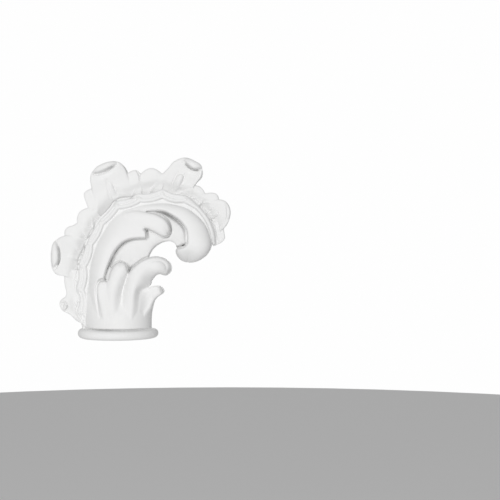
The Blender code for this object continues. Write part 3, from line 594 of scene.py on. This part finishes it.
# Creases pressed into the fused skin: half width, then (column, row, depth) along the line, in grid units
CREASES = [
    # the hook's inner edge and the top of its round end
    (1.5, [(149, 211, 0.3), (155, 211, 1.4), (160.5, 211.7, 4), (165.5, 213.2, 6.5), (171, 216.2, 7),
           (176.4, 219.8, 7), (181.6, 224.6, 6), (185, 230, 5), (186, 236, 3), (186.2, 241, 1)]),
    (1.3, [(187.6, 241, 0.5), (186.2, 244, 3), (183.4, 246.4, 5), (180, 247.5, 5.5), (176.8, 247.5, 5),
           (175.2, 249.2, 2)]),
    # the outline of the inner lobe, its eye and slit
    (1.2, [(157.5, 214.6, 0.8), (161.4, 216, 2.5), (165.4, 218.6, 3.5), (168.6, 222.4, 4),
           (170.2, 227.5, 4), (170.2, 232, 3.5), (168.4, 235.6, 3), (164.2, 237.4, 2), (158, 235, 1.2),
           (151.6, 231.6, 1.2)]),
    (1.4, [(144.9, 229.6, 5), (146.6, 230.8, 5)]),
    (0.9, [(147.4, 231, 3.5), (147.6, 237, 2.5)]),
    # the inner edge of the body
    (1.1, [(104.5, 279, 2), (106.8, 270, 2), (110.3, 261, 2), (115, 251.6, 2), (121.4, 244.4, 2),
           (129, 240.2, 2.2), (137, 238.8, 2.2), (146, 238.8, 2)]),
    # the outlines of the leaf's lobes, from the left
    (1.1, [(100, 318, 0.6), (98.5, 312, 1.2), (96.6, 300, 2.2), (96, 290, 3), (97, 284.5, 3),
           (100, 280.4, 5), (105, 279.6, 4)]),
    (0.9, [(108.2, 279.5, 1.5), (110.2, 271.6, 1.5), (113.8, 265.4, 1.5), (117.4, 262.4, 1.8),
           (121, 261.6, 2), (124.8, 263.2, 2), (127, 267, 2.5), (128.4, 272, 4)]),
    (1.0, [(128.6, 272, 5), (131, 268.6, 3.5), (135.6, 264.6, 3), (141.6, 260.2, 3), (147, 257.8, 2.5),
           (152, 256.8, 1)]),
    (1.1, [(147, 264, 0.2), (152.5, 261.2, 0.8), (158.4, 260.6, 1), (163.4, 262.8, 1), (166.2, 267, 1),
           (165.8, 271.4, 0.3)]),
    (1.2, [(147.5, 284, 1), (149, 287, 2)]),
    # the grooves between the lobes
    (3.4, [(126.5, 276, 0.6), (123.5, 284, 1.6), (121.5, 293, 2), (120.6, 302, 1.6), (120.4, 310, 0.6)]),
    (3.0, [(147, 286, 0.8), (142, 290, 1.4), (139.2, 295, 1.2), (137.8, 301, 0.8), (137, 308, 0.3)]),
    # the curled rims of the frill, from the left
    (0.9, [(62, 303.6, 2), (66, 304.6, 2), (67.2, 308, 2), (65.5, 311.5, 1)]),
    (1.2, [(56.8, 241.5, 1.5), (58, 248, 3), (59.2, 256, 3.5), (58, 262.6, 3.5), (54.5, 267.5, 2.5)]),
    (1.3, [(93.6, 174.2, 3), (100, 173.4, 4.5), (106, 170.8, 4.5), (112, 167, 4), (117, 164.6, 1)]),
    (3.0, [(94, 177, 0.8), (101, 175.4, 1.6), (107.5, 172.4, 1.6), (112.5, 169, 1)]),
    (1.2, [(184, 161.5, 2.5), (188, 166, 4.5), (192, 168.9, 4.5), (196, 169.8, 4.5), (200, 169.4, 3.5)]),
    (2.8, [(186, 168, 0.8), (190, 171, 1.6), (196, 172.4, 1.6)]),
    # between the petals above, and the faint ribs on the big one
    (0.9, [(136.6, 170.4, 1), (138.4, 173, 3.5), (139.5, 176.5, 3.5), (139.8, 180, 1)]),
    (0.9, [(112.4, 183, 0.5), (114, 187.5, 1.6), (116.2, 192.5, 1.8), (117.6, 196.5, 1)]),
    (1.2, [(106.4, 179, 0.4), (107.6, 186, 1), (109, 194, 1.2), (110.4, 200, 0.8)]),
    # between the frill and the ribbon, and beside the seed-like rib at the top right
    (1.0, [(102.5, 216, 0.5), (108, 209.5, 2), (113, 203.6, 2.5), (118, 199.2, 2.5), (124, 197.8, 2.5),
           (130, 197.6, 2.5), (136, 197, 2), (139, 196, 0.5)]),
    (1.2, [(178, 193.4, 0.5), (184, 194.4, 2), (190, 196.8, 2), (196, 200.6, 2.5), (200, 204.4, 2),
           (204.4, 209.4, 1.8), (208.6, 215, 2.2), (212.4, 221.6, 2.5), (215, 229, 2.5),
           (216.4, 236.5, 2.5), (217, 243.5, 1.5)]),
    (3.6, [(112, 196, 0.4), (120, 192.4, 1.4), (130, 190.6, 1.4), (140, 187.6, 2), (150, 186.6, 2),
           (160, 184.4, 1.4), (170, 187, 1.2), (180, 190, 1.8), (190, 194.6, 1.6), (199, 200.6, 1.6),
           (206, 208, 1.8), (212.4, 216.4, 2), (216.6, 225, 2), (218.6, 233, 1.8), (219.4, 240, 0.8)]),
    (3.6, [(77, 320, 0.4), (74.4, 310, 1.4), (73.6, 298, 1.8), (72.6, 284, 2), (74, 270, 1.8),
           (76.4, 258, 1.4), (80, 248, 1.4), (84.5, 237, 1.4), (90, 227, 1.4), (96, 219, 1.4),
           (104, 209, 1), (112, 200, 0.5)]),
    (1.3, [(82, 322, 2), (78, 316, 3), (75.8, 310.5, 2), (77.6, 305, 2.5), (79, 299, 3),
           (77.4, 294, 2.5), (75, 288, 2.5), (74.6, 281, 2.5), (76.2, 274, 2), (78.6, 268, 2.5),
           (77.6, 262, 3), (79.6, 256, 3.5), (82.8, 250, 3.5), (85.2, 244, 3.5), (88, 238, 3),
           (90.8, 231.5, 2.5), (95.4, 225.8, 2.5), (99, 220, 2.5), (105, 213.8, 3), (110.6, 207.6, 3),
           (114, 202.5, 3), (117, 199.6, 1)]),
    (0.9, [(178, 172.6, 0.5), (174.6, 178, 1.2), (172.4, 184, 1.5), (172, 189, 2)]),
    (0.9, [(185, 174.6, 0.8), (183, 180, 1.5), (180, 186, 1)]),
    # where the stem meets the collar
    (1.0, [(84, 328.9, 1), (90, 329.7, 4), (100, 330.5, 5), (112, 330.8, 5), (124, 330.8, 5),
           (136, 330.3, 5), (146, 329.6, 4), (152, 328.9, 1)]),
]
FLOOR_LEFT = 0.0008  # the least thickness that a crease leaves above the wall
CREASE_SAMPLES = 8  # places along a crease for each of its points
CREASE_REACH = 3  # how many half widths off its line a crease is still felt
STEEP = 0.25  # where the skin's normal points forward less than this, a crease fades out


def on_grid(points):
    """Columns and rows of world points as they are seen."""
    depth = -points[:, 1] / DEPTH_UNIT
    nearness = 1 - depth / SIGHT_DISTANCE
    column = SIGHT_COLUMN + (points[:, 0] / UNIT + STEM_COLUMN - SIGHT_COLUMN) / nearness
    row = SIGHT_ROW + (-(points[:, 2] + ORIGIN_RISE) / UNIT + BASE_ROW - SIGHT_ROW) / nearness
    return np.stack([column, row], axis=1)


def pressed_by(line, half_width, spots):
    """How deep a crease goes at each spot on the grid."""
    depth = np.zeros(len(spots))
    for start, end in zip(line, line[1:]):
        span = end - start
        share = np.clip((spots - start[:2]) @ span[:2] / (span[:2] @ span[:2]), 0, 1)
        away = np.linalg.norm(spots - start[:2] - share[:, None] * span[:2], axis=1)
        depth = np.maximum(depth, (start[2] + share * span[2]) * np.exp(-((away / half_width) ** 2)))
    return depth


def vectors_of(items, attribute):
    """An attribute of all the items, as rows of three numbers."""
    values = np.empty(3 * len(items))
    items.foreach_get(attribute, values)
    return values.reshape(-1, 3)


def creased(mesh):
    """Presses the creases into the skin of the front."""
    places = vectors_of(mesh.vertices, "co")
    normals = vectors_of(mesh.vertex_normals, "vector")
    spots = on_grid(places)
    press = np.zeros(len(places))
    facing = np.clip(-normals[:, 1] / STEEP, 0, 1)
    for half_width, points in CREASES:
        line = evenly(points, CREASE_SAMPLES * len(points))
        reach = CREASE_REACH * half_width
        low, high = line[:, :2].min(axis=0) - reach, line[:, :2].max(axis=0) + reach
        near = np.all((spots > low) & (spots < high), axis=1)
        press[near] = np.maximum(press[near], pressed_by(line, half_width, spots[near]))
    pressed = places[:, 1] + press * facing * DEPTH_UNIT
    deepest = np.maximum(places[:, 1], -FLOOR_LEFT)
    places[:, 1] = np.where(press > 0, np.minimum(pressed, deepest), places[:, 1])
    mesh.vertices.foreach_set("co", places.ravel())
    mesh.update()


def casting_object():
    """The casting: its forms fused into one skin, softened, lightened, and cut flat at the wall and below."""
    rough = bpy.data.objects.new("rough_casting", carved_mesh())
    bpy.context.scene.collection.objects.link(rough)
    fuse = rough.modifiers.new("fuse", "REMESH")
    fuse.mode = "VOXEL"
    fuse.voxel_size = VOXEL
    soften = rough.modifiers.new("soften", "SMOOTH")
    soften.factor = SOFTENING
    soften.iterations = SOFTENING_STEPS
    room = 2 * HEIGHT
    cutters = [
        block("wall_cut", (-room, 0.0, -room), (room, room, room)),
        block("foot_cut", (-room, -room, -room), (room, room, -ORIGIN_RISE)),
    ]
    for cutter in cutters:
        cut = rough.modifiers.new(cutter.name, "BOOLEAN")
        cut.operation = "DIFFERENCE"
        cut.object = cutter
    skin = settled(rough)
    creased(skin)
    skin.calc_loop_triangles()
    rough.modifiers.clear()
    rough.data = skin
    lighten = rough.modifiers.new("lighten", "DECIMATE")
    lighten.ratio = min(1.0, TRIANGLES / len(skin.loop_triangles))
    mesh = settled(rough)
    mesh.name = "cast_ornament"
    mesh.shade_smooth()
    mesh.set_sharp_from_angle(angle=SHARP_ANGLE)
    casting = bpy.data.objects.new("cast_ornament", mesh)
    bpy.context.scene.collection.objects.link(casting)
    for used in (rough, *cutters):
        bpy.data.objects.remove(used)
    return casting


# The finish: each noise is its scale and its detail, and heights are in metres
TONES = ((0.835, 0.835, 0.832, 1), (0.865, 0.865, 0.862, 1))
TONE_NOISE = (60, 3)
ROUGHNESS = (0.52, 0.66)
ROUGHNESS_NOISE = (200, 2)
GRAIN_NOISE = (2500, 2)
GRAIN_HEIGHT = 0.00003
GRAIN_STRENGTH = 0.5
WAVE_NOISE = (220, 2)
WAVE_HEIGHT = 0.0001
WAVE_STRENGTH = 0.4
PRIMER_SHINE = 0.3


def primed_white():
    """Matte white primer on a cast surface: a fine grain, a soft waviness and a faint unevenness of tone."""
    material = bpy.data.materials.new("primed_white")
    material.use_nodes = True
    nodes, links = material.node_tree.nodes, material.node_tree.links
    shader = nodes["Principled BSDF"]
    shader.inputs["Specular IOR Level"].default_value = PRIMER_SHINE
    shader.inputs["Metallic"].default_value = 0.0
    place = nodes.new("ShaderNodeTexCoord").outputs["Object"]

    def noise(scale, detail):
        """Noise that is fixed to the casting."""
        texture = nodes.new("ShaderNodeTexNoise")
        texture.inputs["Scale"].default_value = scale
        texture.inputs["Detail"].default_value = detail
        links.new(place, texture.inputs["Vector"])
        return texture.outputs["Fac"]

    def ranged(value, low, high):
        """The value, moved from between 0 and 1 to between low and high."""
        ramp = nodes.new("ShaderNodeMapRange")
        ramp.inputs["To Min"].default_value = low
        ramp.inputs["To Max"].default_value = high
        links.new(value, ramp.inputs["Value"])
        return ramp.outputs["Result"]

    def bumps(heights, height, strength):
        """A bump node that raises the heights off the surface."""
        bump = nodes.new("ShaderNodeBump")
        bump.inputs["Distance"].default_value = height
        bump.inputs["Strength"].default_value = strength
        links.new(heights, bump.inputs["Height"])
        return bump

    tone = nodes.new("ShaderNodeMix")
    tone.data_type = "RGBA"
    tone.inputs["A"].default_value, tone.inputs["B"].default_value = TONES
    links.new(noise(*TONE_NOISE), tone.inputs["Factor"])
    links.new(tone.outputs["Result"], shader.inputs["Base Color"])
    links.new(ranged(noise(*ROUGHNESS_NOISE), *ROUGHNESS), shader.inputs["Roughness"])
    grain = bumps(noise(*GRAIN_NOISE), GRAIN_HEIGHT, GRAIN_STRENGTH)
    waves = bumps(noise(*WAVE_NOISE), WAVE_HEIGHT, WAVE_STRENGTH)
    links.new(grain.outputs["Normal"], waves.inputs["Normal"])
    links.new(waves.outputs["Normal"], shader.inputs["Normal"])
    return material


FLOOR_DROP = 0.65  # the floor lies this far below the ornament, which hangs on a wall
FLOOR_RADIUS = 4.0
FLOOR_COLOUR = (0.86, 0.86, 0.86, 1)
FLOOR_ROUGHNESS = 0.8
FLOOR_SHINE = 0.1


def floor_pale():
    """The floor's plain matte paint."""
    material = bpy.data.materials.new("floor_pale")
    material.use_nodes = True
    shader = material.node_tree.nodes["Principled BSDF"]
    shader.inputs["Base Color"].default_value = FLOOR_COLOUR
    shader.inputs["Roughness"].default_value = FLOOR_ROUGHNESS
    shader.inputs["Specular IOR Level"].default_value = FLOOR_SHINE
    return material


def floor():
    """A plain round floor, well below the ornament."""
    mesh = bpy.data.meshes.new("floor")
    disc = bmesh.new()
    bmesh.ops.create_circle(disc, cap_ends=True, radius=FLOOR_RADIUS, segments=96)
    disc.to_mesh(mesh)
    disc.free()
    mesh.materials.append(floor_pale())
    obj = bpy.data.objects.new("floor", mesh)
    obj.location = (0, 0, -ORIGIN_RISE - FLOOR_DROP)
    bpy.context.scene.collection.objects.link(obj)


AIM = Vector((0.02, -0.01, 0.03))  # the middle of the ornament
SURROUND = 0.455  # brightness of the white surroundings as they light the ornament
BACKDROP = 0.992  # brightness of the same surroundings as the camera sees them
WHITE = (1, 1, 1, 1)
FRONT_LIGHT = ((-0.14, -1.58, 0.28), 0.7, 12.9)  # each light's place, width in metres and power in watts
REAR_LIGHT = ((0.02, 1.5, 0.06), 0.5, 6.0)


def softbox(name, place, size, power):
    """Adds a round soft light that faces the ornament and isn't seen itself."""
    data = bpy.data.lights.new(name, "AREA")
    data.shape = "DISK"
    data.size = size
    data.energy = power
    lamp = bpy.data.objects.new(name, data)
    lamp.location = place
    lamp.visible_camera = False
    lamp.rotation_mode = "QUATERNION"
    lamp.rotation_quaternion = (AIM - lamp.location).to_track_quat("-Z", "Y")
    bpy.context.scene.collection.objects.link(lamp)


def light():
    """A white studio: even surroundings, a broad soft light from the front, a little left and above, and
    a weaker one straight behind."""
    world = bpy.data.worlds.new("white_studio")
    bpy.context.scene.world = world
    world.use_nodes = True
    nodes, links = world.node_tree.nodes, world.node_tree.links
    output = nodes["World Output"]
    around = nodes["Background"]
    around.inputs["Color"].default_value = WHITE
    around.inputs["Strength"].default_value = SURROUND
    backdrop = nodes.new("ShaderNodeBackground")
    backdrop.inputs["Color"].default_value = WHITE
    backdrop.inputs["Strength"].default_value = BACKDROP
    path = nodes.new("ShaderNodeLightPath")
    pick = nodes.new("ShaderNodeMixShader")
    links.new(path.outputs["Is Camera Ray"], pick.inputs["Fac"])
    links.new(around.outputs["Background"], pick.inputs[1])
    links.new(backdrop.outputs["Background"], pick.inputs[2])
    links.new(pick.outputs["Shader"], output.inputs["Surface"])
    softbox("front_light", *FRONT_LIGHT)
    softbox("rear_light", *REAR_LIGHT)
    bpy.context.scene.view_settings.view_transform = "Standard"


PICTURE_COLUMNS = 500  # grid columns across the whole picture
SENSOR_WIDTH = 36.0  # in millimetres
NEAREST = 0.01  # the camera sees nothing that is nearer than this


def camera():
    """The photograph's view: level, square to the wall, with the ornament left of the picture's middle."""
    data = bpy.data.cameras.new("camera")
    data.sensor_width = SENSOR_WIDTH
    data.lens = SENSOR_WIDTH * SIGHT_DISTANCE / PICTURE_COLUMNS
    data.clip_start = NEAREST
    eye = bpy.data.objects.new("camera", data)
    across = (SIGHT_COLUMN - STEM_COLUMN) * UNIT
    up = (BASE_ROW - SIGHT_ROW) * UNIT - ORIGIN_RISE
    eye.location = (across, -SIGHT_DISTANCE * DEPTH_UNIT, up)
    eye.rotation_euler = (math.pi / 2, 0, 0)
    bpy.context.scene.collection.objects.link(eye)
    bpy.context.scene.camera = eye


casting = casting_object()
casting.data.materials.clear()
casting.data.materials.append(primed_white())
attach(casting, "root")
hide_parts("moulding_end_ornament")
floor()
light()
camera()
